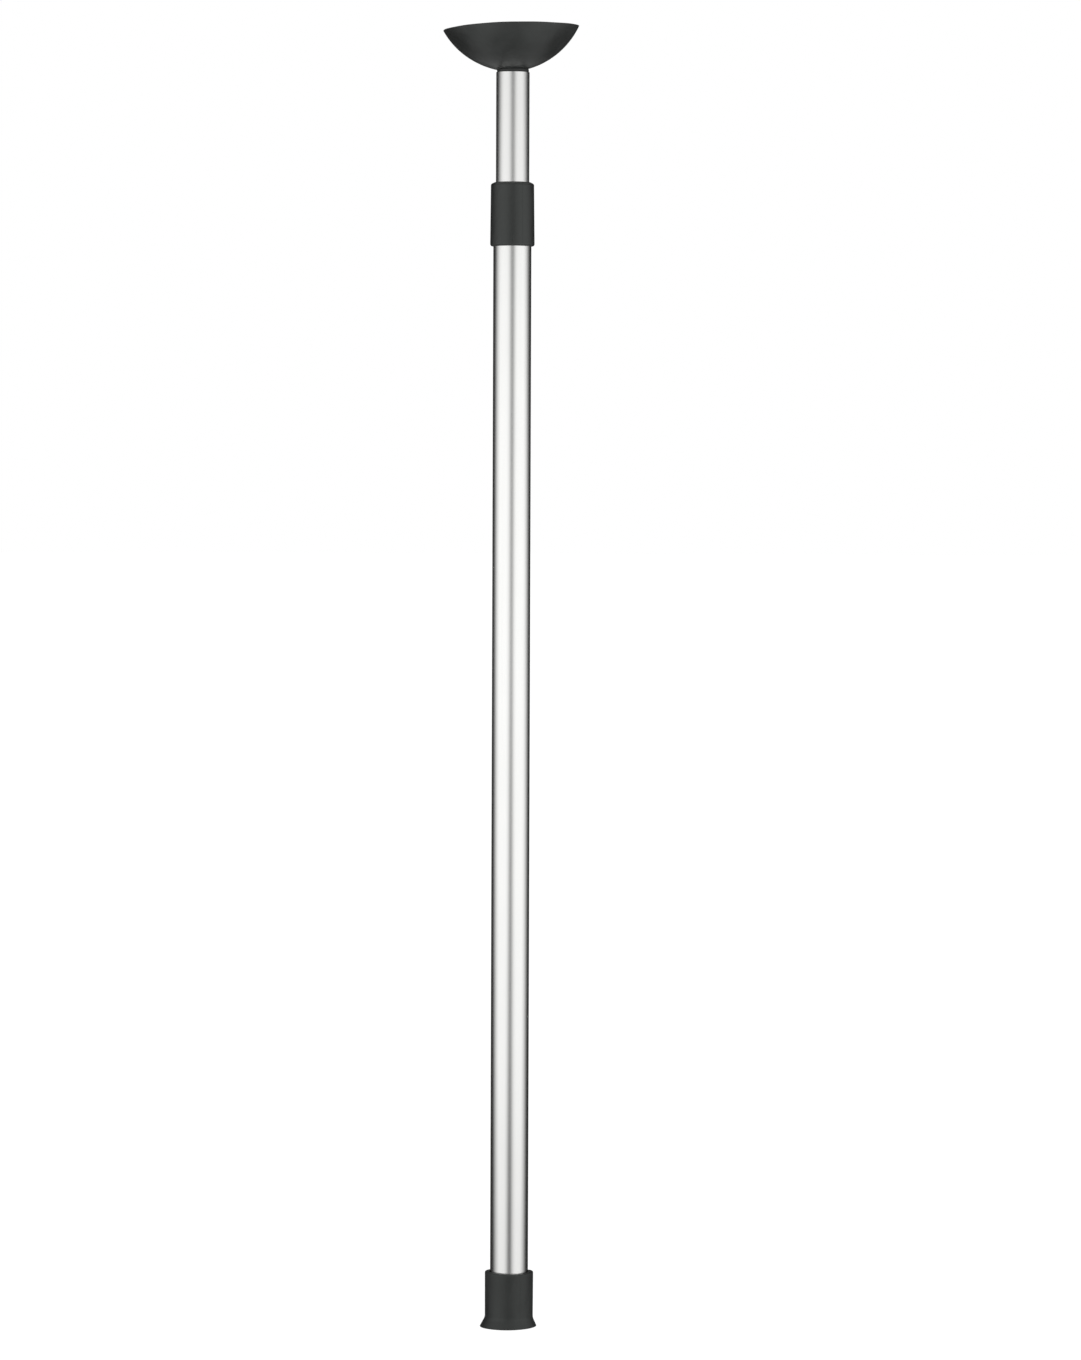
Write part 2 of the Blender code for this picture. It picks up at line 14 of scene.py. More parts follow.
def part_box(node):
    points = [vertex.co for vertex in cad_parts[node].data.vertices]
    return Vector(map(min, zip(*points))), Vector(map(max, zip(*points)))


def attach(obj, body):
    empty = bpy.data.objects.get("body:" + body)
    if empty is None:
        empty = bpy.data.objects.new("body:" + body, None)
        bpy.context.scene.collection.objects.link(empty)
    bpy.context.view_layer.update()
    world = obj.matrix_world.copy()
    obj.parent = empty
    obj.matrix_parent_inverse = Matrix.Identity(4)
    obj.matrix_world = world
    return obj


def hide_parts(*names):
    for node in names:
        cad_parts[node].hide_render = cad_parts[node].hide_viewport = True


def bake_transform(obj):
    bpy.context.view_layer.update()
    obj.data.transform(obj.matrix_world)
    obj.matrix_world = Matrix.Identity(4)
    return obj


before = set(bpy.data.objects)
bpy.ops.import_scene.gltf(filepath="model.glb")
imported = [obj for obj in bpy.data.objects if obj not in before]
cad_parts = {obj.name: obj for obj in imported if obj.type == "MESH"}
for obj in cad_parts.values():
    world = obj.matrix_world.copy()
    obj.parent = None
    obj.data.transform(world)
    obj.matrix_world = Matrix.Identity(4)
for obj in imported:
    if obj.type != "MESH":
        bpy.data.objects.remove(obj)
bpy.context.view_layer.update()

# --- Sizes that the CAD part also uses ------------------------------------------------------------

OUTER_R = 0.0160
OUTER_BORE_R = 0.0148
INNER_R = 0.0140
INNER_BORE_R = 0.0128
FOOT_R = 0.0203
FOOT_LIP_R = 0.0237
FOOT_HEIGHT = 0.0473
PIVOT_Z = 1.0545
RIM_HEIGHT = 0.0396
RIM_R = 0.05725
PAD_TILT = math.radians(-2.15)
SEAT_INNER_R = 0.0143
SEAT_OUTER_R = 0.0168
BOLT_R = 0.0030

GRIP_GAP = 0.00015          # between a pressed-on rubber piece and the tube
LIP_EDGE = 0.0004           # rounding of the cup's lip

FINE = 256                  # segments round a visible piece
CUP_FINE = 320              # segments round the cup
MEDIUM = 192                # segments round the seat and the domed washer
SMALL = 96                  # segments round the bolt and the spring washer

WHITE = (1.0, 1.0, 1.0, 1.0)


# --- Node trees -----------------------------------------------------------------------------------

def add(tree, kind, inputs=None, **settings):
    """Adds a node. An input is a value or another node's output."""
    made = tree.nodes.new(kind)
    for key, value in settings.items():
        setattr(made, key, value)
    for key, value in (inputs or {}).items():
        if isinstance(value, bpy.types.NodeSocket):
            tree.links.new(value, made.inputs[key])
        else:
            made.inputs[key].default_value = value
    return made


def calc(tree, operation, a, b=0.0, c=0.0):
    """The output of one step of arithmetic."""
    return add(tree, "ShaderNodeMath", {0: a, 1: b, 2: c}, operation=operation).outputs[0]


def clamped(tree, value, low, high, to_low=0.0, to_high=1.0):
    """Maps low..high on to to_low..to_high and stops at both ends."""
    inputs = {"Value": value, "From Min": low, "From Max": high, "To Min": to_low, "To Max": to_high}
    return add(tree, "ShaderNodeMapRange", inputs).outputs["Result"]


def stops(tree, value, points):
    """Straight lines through (position, level) points, with positions from 0 to 1."""
    made = add(tree, "ShaderNodeValToRGB", {"Fac": value})
    ramp = made.color_ramp
    ramp.interpolation = "LINEAR"
    while len(ramp.elements) < len(points):
        ramp.elements.new(1.0)
    for element, (position, level) in zip(ramp.elements, points):
        element.position = position
        element.color = (level, level, level, 1.0)
    return made.outputs["Color"]


def stretched(tree, scale):
    """The piece's own coordinates in metres, multiplied by scale."""
    coords = add(tree, "ShaderNodeTexCoord").outputs["Object"]
    return add(tree, "ShaderNodeMapping", {"Vector": coords, "Scale": scale}).outputs["Vector"]


def noise(tree, scale, detail=3.0, roughness=0.5, distortion=0.0):
    """Noise fixed to the piece, with scale blotches per metre along X, Y and Z."""
    inputs = {
        "Vector": stretched(tree, scale),
        "Scale": 1.0,
        "Detail": detail,
        "Roughness": roughness,
        "Distortion": distortion,
    }
    return add(tree, "ShaderNodeTexNoise", inputs).outputs["Fac"]


def mixed(tree, amount, a, b):
    """The colour a where amount is 0, turning to b where it is 1."""
    inputs = {"Factor": amount, "A": a, "B": b}
    made = add(tree, "ShaderNodeMix", data_type="RGBA")
    colour_inputs = {s.name: s for s in made.inputs if s.type == "RGBA"}
    for key, value in inputs.items():
        socket = made.inputs[0] if key == "Factor" else colour_inputs[key]
        if isinstance(value, bpy.types.NodeSocket):
            tree.links.new(value, socket)
        else:
            socket.default_value = value if key == "Factor" else (*value, 1.0)
    return [s for s in made.outputs if s.type == "RGBA"][0]


def bump(tree, height, depth, normal=None):
    """Raises the surface by depth metres where height is 1."""
    inputs = {"Height": height, "Distance": depth, "Strength": 1.0}
    if normal is not None:
        inputs["Normal"] = normal
    return add(tree, "ShaderNodeBump", inputs).outputs["Normal"]


def new_material(name):
    made = bpy.data.materials.new(name)
    made.use_nodes = True
    made.node_tree.nodes.clear()
    return made, made.node_tree


def surface(tree, **inputs):
    shader = add(tree, "ShaderNodeBsdfPrincipled", inputs)
    add(tree, "ShaderNodeOutputMaterial", {"Surface": shader.outputs["BSDF"]})


def turn_angle(tree):
    """The angle round the piece's Z axis, in degrees from -180 to 180, with 0 on +X."""
    coords = add(tree, "ShaderNodeTexCoord").outputs["Object"]
    parts = add(tree, "ShaderNodeSeparateXYZ", {"Vector": coords}).outputs
    return calc(tree, "MULTIPLY", calc(tree, "ARCTAN2", parts["Y"], parts["X"]), 180 / math.pi)


# --- Materials ------------------------------------------------------------------------------------

def aluminium(name, seed, gloss_low):
    """Satin anodised drawn tube: fine lines along it, faint clouding, a few hairline rubs round it, and a
    black grazing tint that paints shade along the tube's outlines.
    """
    made, tree = new_material(name)
    lines = noise(tree, (2600.0, 2600.0, 6.0 + seed), 4.0, 0.6)
    broad_lines = noise(tree, (520.0, 520.0, 2.0 + seed), 3.0, 0.55)
    cloud = noise(tree, (38.0, 38.0, 9.0 + seed), 4.0, 0.55)
    rubs = noise(tree, (60.0, 60.0, 2400.0), 2.0, 0.5)
    rub_patches = noise(tree, (30.0 + seed, 30.0, 14.0), 2.0, 0.5)
    rub = calc(tree, "MULTIPLY", clamped(tree, rubs, 0.66, 0.74), clamped(tree, rub_patches, 0.56, 0.70))
    shade = mixed(tree, clamped(tree, cloud, 0.30, 0.70), (0.880, 0.880, 0.867), (0.920, 0.920, 0.906))
    shade = mixed(tree, clamped(tree, broad_lines, 0.35, 0.75, 0.0, 0.5), shade, (0.865, 0.865, 0.852))
    gloss = clamped(tree, lines, 0.25, 0.75, gloss_low, gloss_low + 0.07)
    gloss = calc(tree, "ADD", gloss, calc(tree, "MULTIPLY", rub, 0.05))
    normal = bump(tree, lines, 0.0000025)
    normal = bump(tree, broad_lines, 0.000006, normal)
    # Black specular tint: painted shade that keeps the tube's outlines dark from every side, in place of
    # dark surroundings mirrored there.
    painted_edge_shade = (0.0, 0.0, 0.0, 1.0)
    surface(tree, **{
        "Base Color": shade,
        "Metallic": 1.0,
        "Roughness": gloss,
        "Specular Tint": painted_edge_shade,
        "Normal": normal,
    })
    return made


def rubber(name, tone, sheen, gloss_low, mould_lines=True):
    """Matte moulded rubber: fine grain, gentle unevenness, faint bloom and scuffs, two mould lines."""
    made, tree = new_material(name)
    grains = noise(tree, (5200.0, 5200.0, 5200.0), 2.0, 0.6)
    dimples = noise(tree, (900.0, 900.0, 900.0), 2.0, 0.5)
    swell = noise(tree, (110.0, 110.0, 90.0), 2.0, 0.5)
    bloom = noise(tree, (46.0, 46.0, 30.0), 4.0, 0.6, 0.4)
    scuffs = noise(tree, (260.0, 260.0, 900.0), 3.0, 0.6, 1.5)
    dark = tuple(tone * c for c in (0.70, 0.75, 0.72))
    pale = tuple(tone * c for c in (1.34, 1.42, 1.38))
    scuffed = tuple(tone * c for c in (2.30, 2.40, 2.32))
    shade = mixed(tree, clamped(tree, bloom, 0.32, 0.70), dark, pale)
    scuff_share = clamped(tree, bloom, 0.5, 0.7, 0.0, 0.5)
    scuff = calc(tree, "MULTIPLY", clamped(tree, scuffs, 0.68, 0.80), scuff_share)
    shade = mixed(tree, scuff, shade, scuffed)
    gloss = clamped(tree, bloom, 0.3, 0.7, gloss_low, gloss_low + 0.10)
    normal = bump(tree, grains, 0.000022)
    normal = bump(tree, dimples, 0.000040, normal)
    normal = bump(tree, swell, 0.00022, normal)
    if mould_lines:
        line_at, half_width = 62.0, 1.1
        turned = calc(tree, "ABSOLUTE", turn_angle(tree))
        off_line = calc(tree, "ABSOLUTE", calc(tree, "SUBTRACT", turned, line_at))
        normal = bump(tree, clamped(tree, off_line, 0.0, half_width, 1.0, 0.0), 0.00010, normal)
    surface(tree, **{
        "Base Color": shade,
        "Roughness": gloss,
        "Specular IOR Level": sheen,
        "Specular Tint": (0.95, 1.0, 0.97, 1.0),
        "Normal": normal,
    })
    return made


def moulded_plastic(name, colour, gloss_low, gloss_high):
    """Nylon with faint flow marks and a very fine grain."""
    made, tree = new_material(name)
    flow = noise(tree, (120.0, 120.0, 60.0), 3.0, 0.5, 0.8)
    grains = noise(tree, (3000.0, 3000.0, 3000.0), 2.0, 0.5)
    darker = tuple(0.86 * c for c in colour)
    shade = mixed(tree, clamped(tree, flow, 0.3, 0.7), darker, colour)
    surface(tree, **{
        "Base Color": shade,
        "Roughness": clamped(tree, flow, 0.3, 0.7, gloss_low, gloss_high),
        "Normal": bump(tree, grains, 0.00002),
    })
    return made


def plated_steel(name):
    """Bright zinc plating: cool, slightly cloudy, with faint turning marks."""
    made, tree = new_material(name)
    cloud = noise(tree, (260.0, 260.0, 260.0), 4.0, 0.6)
    marks = noise(tree, (300.0, 300.0, 6000.0), 2.0, 0.5)
    shade = mixed(tree, clamped(tree, cloud, 0.3, 0.7), (0.58, 0.60, 0.62), (0.72, 0.72, 0.70))
    surface(tree, **{
        "Base Color": shade,
        "Metallic": 1.0,
        "Roughness": clamped(tree, cloud, 0.3, 0.7, 0.24, 0.38),
        "Normal": bump(tree, marks, 0.000008),
    })
    return made


def cast_metal(name):
    """Dull grey cast zinc with small pits."""
    made, tree = new_material(name)
    pits = noise(tree, (1400.0, 1400.0, 1400.0), 4.0, 0.6)
    cloud = noise(tree, (160.0, 160.0, 160.0), 3.0, 0.5)
    shade = mixed(tree, clamped(tree, cloud, 0.3, 0.7), (0.40, 0.41, 0.43), (0.52, 0.53, 0.55))
    surface(tree, **{
        "Base Color": shade,
        "Metallic": 1.0,
        "Roughness": clamped(tree, pits, 0.3, 0.7, 0.42, 0.60),
        "Normal": bump(tree, pits, 0.00006),
    })
    return made


# --- Shapes ---------------------------------------------------------------------------------------

def arc(centre, radius, start, end, count):
    """(r, z) points on a circle, angles in degrees from +r towards +z, ends included."""
    angles = [math.radians(start + (end - start) * i / (count - 1)) for i in range(count)]
    return [(centre[0] + radius * math.cos(a), centre[1] + radius * math.sin(a)) for a in angles]


def sphere_arc(radius, r_start, r_end, count):
    """(r, z) points on a circle round the origin, from r_start to r_end."""
    start = math.degrees(math.acos(r_start / radius))
    end = math.degrees(math.acos(r_end / radius))
    return arc((0.0, 0.0), radius, start, end, count)


def supported(outline, inset=0.00015, shortest=0.0012):
    """Adds a point near each end of every long straight, so that smooth shading stays at the corners."""
    points = []
    for here, there in zip(outline, outline[1:] + outline[:1]):
        points.append(here)
        length = math.dist(here, there)
        if length > shortest:
            for share in (inset / length, 1 - inset / length):
                points.append(tuple(a + (b - a) * share for a, b in zip(here, there)))
    return points


def lathe(name, outline, segments=FINE, reshape=None):
    """Turns a closed (r, z) outline about Z. reshape(r, angle, z) may return a changed (r, z)."""
    on_axis = outline[0][0] == 0.0
    profile = supported(outline)
    if on_axis:
        profile = [p for p in profile if p[0] > 0.0]
    bm = bmesh.new()
    columns = []
    for i in range(segments):
        angle = 2 * math.pi * i / segments
        column = []
        for r, z in profile:
            if reshape:
                r, z = reshape(r, angle, z)
            column.append(bm.verts.new((r * math.cos(angle), r * math.sin(angle), z)))
        columns.append(column)
    count = len(profile) - 1 if on_axis else len(profile)
    for here, there in zip(columns, columns[1:] + columns[:1]):
        for k in range(count):
            m = (k + 1) % len(profile)
            bm.faces.new((here[k], there[k], there[m], here[m]))
    if on_axis:
        bm.faces.new([column[0] for column in columns][::-1])
        bm.faces.new([column[-1] for column in columns])
    return as_object(name, bm)


def as_object(name, bm, sharp=32.0):
    bmesh.ops.recalc_face_normals(bm, faces=bm.faces)
    mesh = bpy.data.meshes.new(name)
    bm.to_mesh(mesh)
    bm.free()
    mesh.shade_smooth()
    mesh.set_sharp_from_angle(angle=math.radians(sharp))
    made = bpy.data.objects.new(name, mesh)
    bpy.context.scene.collection.objects.link(made)
    return made


def dress(made, look, body, node):
    """Gives a piece its material and makes it stand for one CAD node."""
    made.data.materials.append(look)
    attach(made, body)
    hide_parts(node)


def wave(angle, *terms):
    """A sum of (size, lobes, phase in degrees) ripples round a piece."""
    return sum(size * math.cos(lobes * angle + math.radians(phase)) for size, lobes, phase in terms)


# --- Tubes, sleeve and foot -----------------------------------------------------------------------

def make_tubes(looks):
    """The two tubes. The outer one's mouth is rolled in round the inner one."""
    edge = 0.0003
    low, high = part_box("outer_tube")
    roll = 0.0011
    mouth_r = INNER_R + 0.00025
    outline = [(OUTER_BORE_R, low.z), (OUTER_R - edge, low.z), (OUTER_R, low.z + edge)]
    outline += arc((OUTER_R - roll, high.z - roll), roll, 0, 90, 8)
    outline += [(mouth_r, high.z), (mouth_r, high.z - roll), (OUTER_BORE_R, high.z - 2 * roll)]
    outer = lathe("outer_tube_skin", outline)
    dress(outer, looks["outer"], "outer", "outer_tube")

    low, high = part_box("inner_tube")
    bore_edge = 0.0002
    outline = [(INNER_BORE_R, low.z), (INNER_R - edge, low.z), (INNER_R, low.z + edge)]
    outline += arc((INNER_R - edge, high.z - edge), edge, 0, 90, 5)
    outline += [(INNER_BORE_R + bore_edge, high.z), (INNER_BORE_R, high.z - bore_edge)]
    inner = lathe("inner_tube_skin", outline)
    dress(inner, looks["inner"], "inner", "inner_tube")
    return outer, inner


def make_sleeve(looks):
    """The soft sleeve, a little uneven where it grips the tube."""
    low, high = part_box("collar_sleeve")
    bottom_r, top_r = 0.0187, 0.0182
    shoulder_round, shoulder_turn, lip_rise = 0.0020, 66.0, 0.0010
    shoulder_z = high.z - lip_rise - shoulder_round * math.sin(math.radians(shoulder_turn))
    bottom_round = 0.0019
    bore_r = OUTER_R + GRIP_GAP
    lip_r, lip_round, lip_depth = INNER_R + 0.00035, 0.0004, 0.0019
    ledge = high.z - lip_depth
    outside_from = OUTER_R + 0.0008
    outline = [(bore_r, low.z)]
    outline += arc((bottom_r - bottom_round, low.z + bottom_round), bottom_round, -90, 0, 12)
    outline += arc((top_r - shoulder_round, shoulder_z), shoulder_round, 0, shoulder_turn, 12)
    outline += arc((lip_r + lip_round, high.z - lip_round), lip_round, 90 - shoulder_turn / 3, 180, 6)
    outline += [(lip_r, ledge), (bore_r, ledge)]

    def uneven(r, angle, z):
        if r > outside_from:
            share = (z - low.z) / (high.z - low.z)
            r += wave(angle, (0.00005, 3, 40 + 200 * share), (0.00004, 5, 100)) - 0.00006
        return r, z

    made = lathe("collar_sleeve_skin", outline, reshape=uneven)
    dress(made, looks["sleeve"], "outer", "collar_sleeve")


def foot_outline():
    """The boot with its flare, a rounded lip and ring grooves underneath."""
    bore_r = OUTER_R + GRIP_GAP
    top_round, mouth_round = 0.0015, 0.0014
    floor = 0.0060
    groove_depth, groove_slope = 0.0012, 0.0003
    points = [(0.0, 0.0)]
    for start, end in ((0.0070, 0.0090), (0.0125, 0.0145), (0.0180, 0.0200)):
        points += [(start, 0.0), (start + groove_slope, groove_depth)]
        points += [(end - groove_slope, groove_depth), (end, 0.0)]
    lip = 0.0005
    points += arc((FOOT_LIP_R - lip, lip), lip, -90, 20, 7)
    flare_r, flare_z, flare_turn = 0.0090, 0.0100, 24
    points += arc((FOOT_R + flare_r, flare_z), flare_r, 180 + flare_turn, 180, 14)
    points += arc((FOOT_R - top_round, FOOT_HEIGHT - top_round), top_round, 0, 90, 12)
    points += arc((bore_r + mouth_round, FOOT_HEIGHT - mouth_round), mouth_round, 90, 180, 10)
    points += [(bore_r, floor), (0.0, floor)]
    return points


def make_foot(looks):
    """The rubber foot, worn to shape.

    Its flare stands out further on the left, its lower edge lifts on the right, and its rim dips at the
    front and back.
    """
    flare_top, flare_from = 0.0125, FOOT_R - 0.0009
    barrel_from = OUTER_R + 0.0012
    lift, lift_top = 0.00055, 0.0060
    dip, dip_height = 0.00040, 0.0060
    flat, skew = 0.00012, 0.00012

    def worn(r, angle, z):
        if r > flare_from and z < flare_top:
            share = (1 - z / flare_top) ** 1.5
            r += share * (wave(angle, (-0.00075, 1, 0), (0.00014, 4, 60), (0.00008, 7, 10)) + 0.00008)
        elif r > barrel_from:
            r += wave(angle, (0.00005, 2, 30), (0.00003, 5, 80)) + 0.0001 * (z / FOOT_HEIGHT)
        rightward = max(0.0, math.cos(angle)) * min(1.0, r / FOOT_R)
        low_share = max(0.0, 1 - z / lift_top)
        high_share = max(0.0, 1 - (FOOT_HEIGHT - z) / dip_height)
        z += low_share * lift * rightward**1.5
        rim_wave = wave(angle, (dip, 2, 0), (flat, 4, 0), (skew, 3, 0), (-skew, 1, 0))
        z += high_share * (rim_wave - dip - flat)
        return r, z

    made = lathe("foot_boot_skin", foot_outline(), reshape=worn)
    dress(made, looks["foot"], "outer", "foot_boot")


# --- Swivel and cup -------------------------------------------------------------------------------

def at_pivot(made, tilt=0.0):
    """Moves a piece that was made round the ball's centre to its place on the bar."""
    made.data.transform(Matrix.Translation((0.0, 0.0, PIVOT_Z)) @ Matrix.Rotation(tilt, 4, "Y"))
    return made


def make_neck(looks):
    """The plug whose neck shows between the inner tube and the cup."""
    tube_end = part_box("inner_tube")[1].z - PIVOT_Z
    ball_r, neck_r, pocket_r, bolt_hole_r = 0.0140, 0.0134, 0.0080, 0.0033
    barrel_r = INNER_BORE_R - 0.0003
    plug_low, pocket_high = -0.0300, -0.0010
    bevel, edge = 0.0010, 0.0002
    shoulder = tube_end + 0.0003
    outline = [(pocket_r, plug_low), (barrel_r - bevel, plug_low), (barrel_r, plug_low + bevel)]
    outline += [(barrel_r, shoulder), (neck_r - edge, shoulder), (neck_r, shoulder + edge)]
    outline += sphere_arc(ball_r, neck_r, bolt_hole_r, 24)
    outline += [(bolt_hole_r, pocket_high), (pocket_r, pocket_high)]
    made = at_pivot(lathe("neck_plug_skin", outline))
    dress(made, looks["neck"], "inner", "neck_plug")


def cup_bowl():
    """The outside of the cup, from the lip down to the opening round the ball."""
    bowl_r, bowl_rise, base_r = 0.0674, 0.0306, 0.0140
    centre_r = RIM_R - math.sqrt(bowl_r**2 - bowl_rise**2)
    centre_z = RIM_HEIGHT + bowl_rise
    rim_angle = math.degrees(math.asin((RIM_HEIGHT - LIP_EDGE - centre_z) / bowl_r))
    base_angle = -90 + math.degrees(math.asin((base_r - centre_r) / bowl_r))
    return arc((centre_r, centre_z), bowl_r, rim_angle, base_angle, 64)


def cup_dish(well_r):
    """The cup's dished face with its grip rings, from the well out to the lip."""
    lip_inner_r, dish_depth = 0.0548, 0.0208
    dish_r = (lip_inner_r**2 + dish_depth**2) / (2 * dish_depth)
    start = -90 + math.degrees(math.asin(well_r / dish_r))
    end = -90 + math.degrees(math.asin(lip_inner_r / dish_r))
    dish = arc((0.0, RIM_HEIGHT - dish_depth + dish_r), dish_r, start, end, 150)
    return [(r, z - ring_groove(r)) for r, z in dish]


def make_cup(looks):
    """The cup: a bowl outside, a dished face with grip rings inside, and a flat lip."""
    seat_r, flange_r, well_r, relief_r = 0.0178, 0.0263, 0.0132, 0.0146
    seat_low, flange_low, flange_high = 0.0076, 0.0137, 0.0173
    soft_from = 0.0300
    bowl = cup_bowl()
    relief_start = math.sqrt(relief_r**2 - bowl[-1][1]**2)
    relief_end = math.sqrt(relief_r**2 - seat_low**2)
    outline = bowl + sphere_arc(relief_r, relief_start, relief_end, 6)
    outline += [(seat_r, seat_low), (seat_r, flange_low), (flange_r, flange_low)]
    outline += [(flange_r, flange_high), (well_r, flange_high)]
    outline += cup_dish(well_r)
    outline += arc((bowl[0][0] - LIP_EDGE, RIM_HEIGHT - LIP_EDGE), LIP_EDGE, 90, 10, 6)

    def uneven(r, angle, z):
        if r > soft_from:
            share = (r - soft_from) / (RIM_R - soft_from)
            r -= share * (0.00003 + wave(angle, (0.00007, 3, 20), (0.00005, 8, 70)))
            z += share * (wave(angle, (0.00025, 2, 216), (0.00025, 3, 300), (0.00005, 11, 0)) - 0.00008)
        return r, z

    made = at_pivot(lathe("pad_cup_skin", outline, CUP_FINE, reshape=uneven), PAD_TILT)
    dress(made, looks["cup"], "pad", "pad_cup")


def ring_groove(r):
    """How deep the cup's face is cut at radius r: four narrow rings that help it grip."""
    depth, half_width = 0.0007, 0.0009
    for centre in (0.0270, 0.0335, 0.0400, 0.0465):
        off = abs(r - centre) / half_width
        if off < 1:
            return depth * math.cos(off * math.pi / 2) ** 2
    return 0.0


def make_swivel(looks):
    """The seat in the cup's well, and the washers and bolt that hold it on the ball."""
    well_r, hole_r, seat_r, flange_r = 0.0123, 0.0059, 0.0175, 0.0260
    seat_low, flange_low, flange_high = 0.0079, 0.0140, 0.0170
    edge = 0.0003
    inner_low_r = math.sqrt(SEAT_INNER_R**2 - seat_low**2)
    outline = sphere_arc(SEAT_INNER_R, hole_r, inner_low_r, 14)
    outline += [(seat_r, seat_low), (seat_r, flange_low), (flange_r, flange_low)]
    outline += [(flange_r, flange_high), (well_r + edge, flange_high), (well_r, flange_high - edge)]
    outline += sphere_arc(SEAT_OUTER_R, well_r, hole_r, 14)
    made = at_pivot(lathe("pad_seat_skin", outline, MEDIUM), PAD_TILT)
    dress(made, looks["nylon"], "pad", "pad_seat")

    washer_hole_r, washer_r, washer_top = BOLT_R + 0.0003, 0.0092, 0.0190
    washer_side, flat_r, flat_edge = 0.0156, 0.0064, 0.0003
    outline = sphere_arc(SEAT_OUTER_R + 0.0003, washer_hole_r, washer_r, 12)
    outline += [(washer_r, washer_side), (flat_r + flat_edge, washer_top - 0.0001)]
    outline += [(flat_r, washer_top), (washer_hole_r, washer_top)]
    made = at_pivot(lathe("dome_washer_skin", outline, MEDIUM))
    dress(made, looks["steel"], "swivel", "dome_washer")

    ring_r, ring_height, clearance = 0.0056, 0.0012, 0.0002
    ring_low = washer_top + clearance
    ring_high = ring_low + ring_height
    made = at_pivot(split_ring("spring_washer_skin", washer_hole_r, ring_r, ring_low, ring_high))
    dress(made, looks["steel"], "swivel", "spring_washer")

    made = at_pivot(socket_bolt("swivel_bolt_skin", ring_high + clearance))
    dress(made, looks["steel"], "swivel", "swivel_bolt")


def split_ring(name, inner, outer, low, high):
    """A square-section ring with a narrow gap."""
    gap = math.radians(9)
    middle = math.radians(20)
    edge = 0.00012
    section = [
        (inner, low),
        (outer - edge, low),
        (outer, low + edge),
        (outer, high - edge),
        (outer - edge, high),
        (inner, high),
    ]
    bm = bmesh.new()
    rings = []
    for i in range(SMALL + 1):
        angle = middle + gap / 2 + (2 * math.pi - gap) * i / SMALL
        rings.append([bm.verts.new((r * math.cos(angle), r * math.sin(angle), z)) for r, z in section])
    for here, there in zip(rings, rings[1:]):
        for k in range(len(section)):
            m = (k + 1) % len(section)
            bm.faces.new((here[k], there[k], there[m], here[m]))
    bm.faces.new(rings[0])
    bm.faces.new(rings[-1][::-1])
    return as_object(name, bm)


def socket_bolt(name, head_low):
    """A button-head bolt with a hexagon socket. Its rings all have the same number of points."""
    count = SMALL
    head_r, head_side = 0.0055, 0.0010
    head_high = head_low + 0.0033
    socket_depth = 0.0020
    flats, socket_r = 0.0040, 0.0027
    shank_low, tip_bevel = -0.0110, 0.0004
    edge = 0.0001

    def circle(radius, z):
        angles = [2 * math.pi * i / count for i in range(count)]
        return [(radius * math.cos(a), radius * math.sin(a), z) for a in angles]

    def hexagon(z):
        points = []
        for i in range(count):
            angle = 2 * math.pi * i / count
            radius = flats / 2 / math.cos(angle % (math.pi / 3) - math.pi / 6)
            points.append((radius * math.cos(angle), radius * math.sin(angle), z))
        return points

    rings = [circle(BOLT_R - tip_bevel, shank_low), circle(BOLT_R, shank_low + tip_bevel)]
    rings += [circle(BOLT_R, head_low - edge), circle(BOLT_R, head_low)]
    rings += [circle(head_r - edge, head_low), circle(head_r, head_low + edge)]
    rings += [circle(head_r, head_low + head_side)]
    dome = arc((0.0034, head_low + 0.0012), 0.0021, 0, 90, 10)
    rings += [circle(r, z) for r, z in dome]
    rings += [circle(socket_r, head_high), hexagon(head_high - edge), hexagon(head_high - socket_depth)]
    bm = bmesh.new()
    levels = [[bm.verts.new(point) for point in ring] for ring in rings]
    for under, over in zip(levels, levels[1:]):
        for i in range(count):
            j = (i + 1) % count
            bm.faces.new((under[i], under[j], over[j], over[i]))
    bm.faces.new(levels[0][::-1])
    bm.faces.new(levels[-1])
    return as_object(name, bm)


# --- Hidden pieces --------------------------------------------------------------------------------

def make_spring(looks):
    """The coil in the jack, made once at the length of the CAD spring."""
    low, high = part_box("brake_spring")
    wire_r, coil_r, turns, per_turn, sides = 0.0006, 0.0080, 5, 64, 12
    start = low.z + wire_r
    climb = (high.z - wire_r - start) / turns
    bm = bmesh.new()
    rings = []
    for i in range(turns * per_turn + 1):
        angle = 2 * math.pi * i / per_turn
        out = Vector((math.cos(angle), math.sin(angle), 0.0))
        middle = out * coil_r + Vector((0.0, 0.0, start + climb * i / per_turn))
        ring = []
        for k in range(sides):
            a = 2 * math.pi * k / sides
            across = out * (wire_r * math.cos(a))
            along = Vector((0.0, 0.0, wire_r * math.sin(a)))
            ring.append(bm.verts.new(middle + across + along))
        rings.append(ring)
    for here, there in zip(rings, rings[1:]):
        for i in range(sides):
            j = (i + 1) % sides
            bm.faces.new((here[i], there[i], there[j], here[j]))
    bm.faces.new(rings[0])
    bm.faces.new(rings[-1][::-1])
    made = as_object("brake_spring_coil", bm)
    made.data.materials.append(looks["steel"])
    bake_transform(made)
    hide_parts("brake_spring")


HIDDEN = {
    "nylon": ("guide_liner", "guide_ring", "slip_washer", "drive_plug", "brake_bush"),
    "black_nylon": ("tube_end_plug",),
    "steel": (
        "foot_washer", "brake_washer", "brake_nut", "tension_screw", "stop_nut", "drive_nut",
        "plug_rivet_left", "plug_rivet_right", "bolt_washer", "lock_nut",
    ),
    "cast": ("brake_cone",),
}


def dress_hidden_nodes(looks):
    """Gives every CAD piece that is carried over its material."""
    for look, names in HIDDEN.items():
        for name in names:
            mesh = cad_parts[name].data
            mesh.materials.clear()
            mesh.materials.append(looks[look])
            mesh.shade_smooth()
            mesh.set_sharp_from_angle(angle=math.radians(30))


# --- Studio ---------------------------------------------------------------------------------------

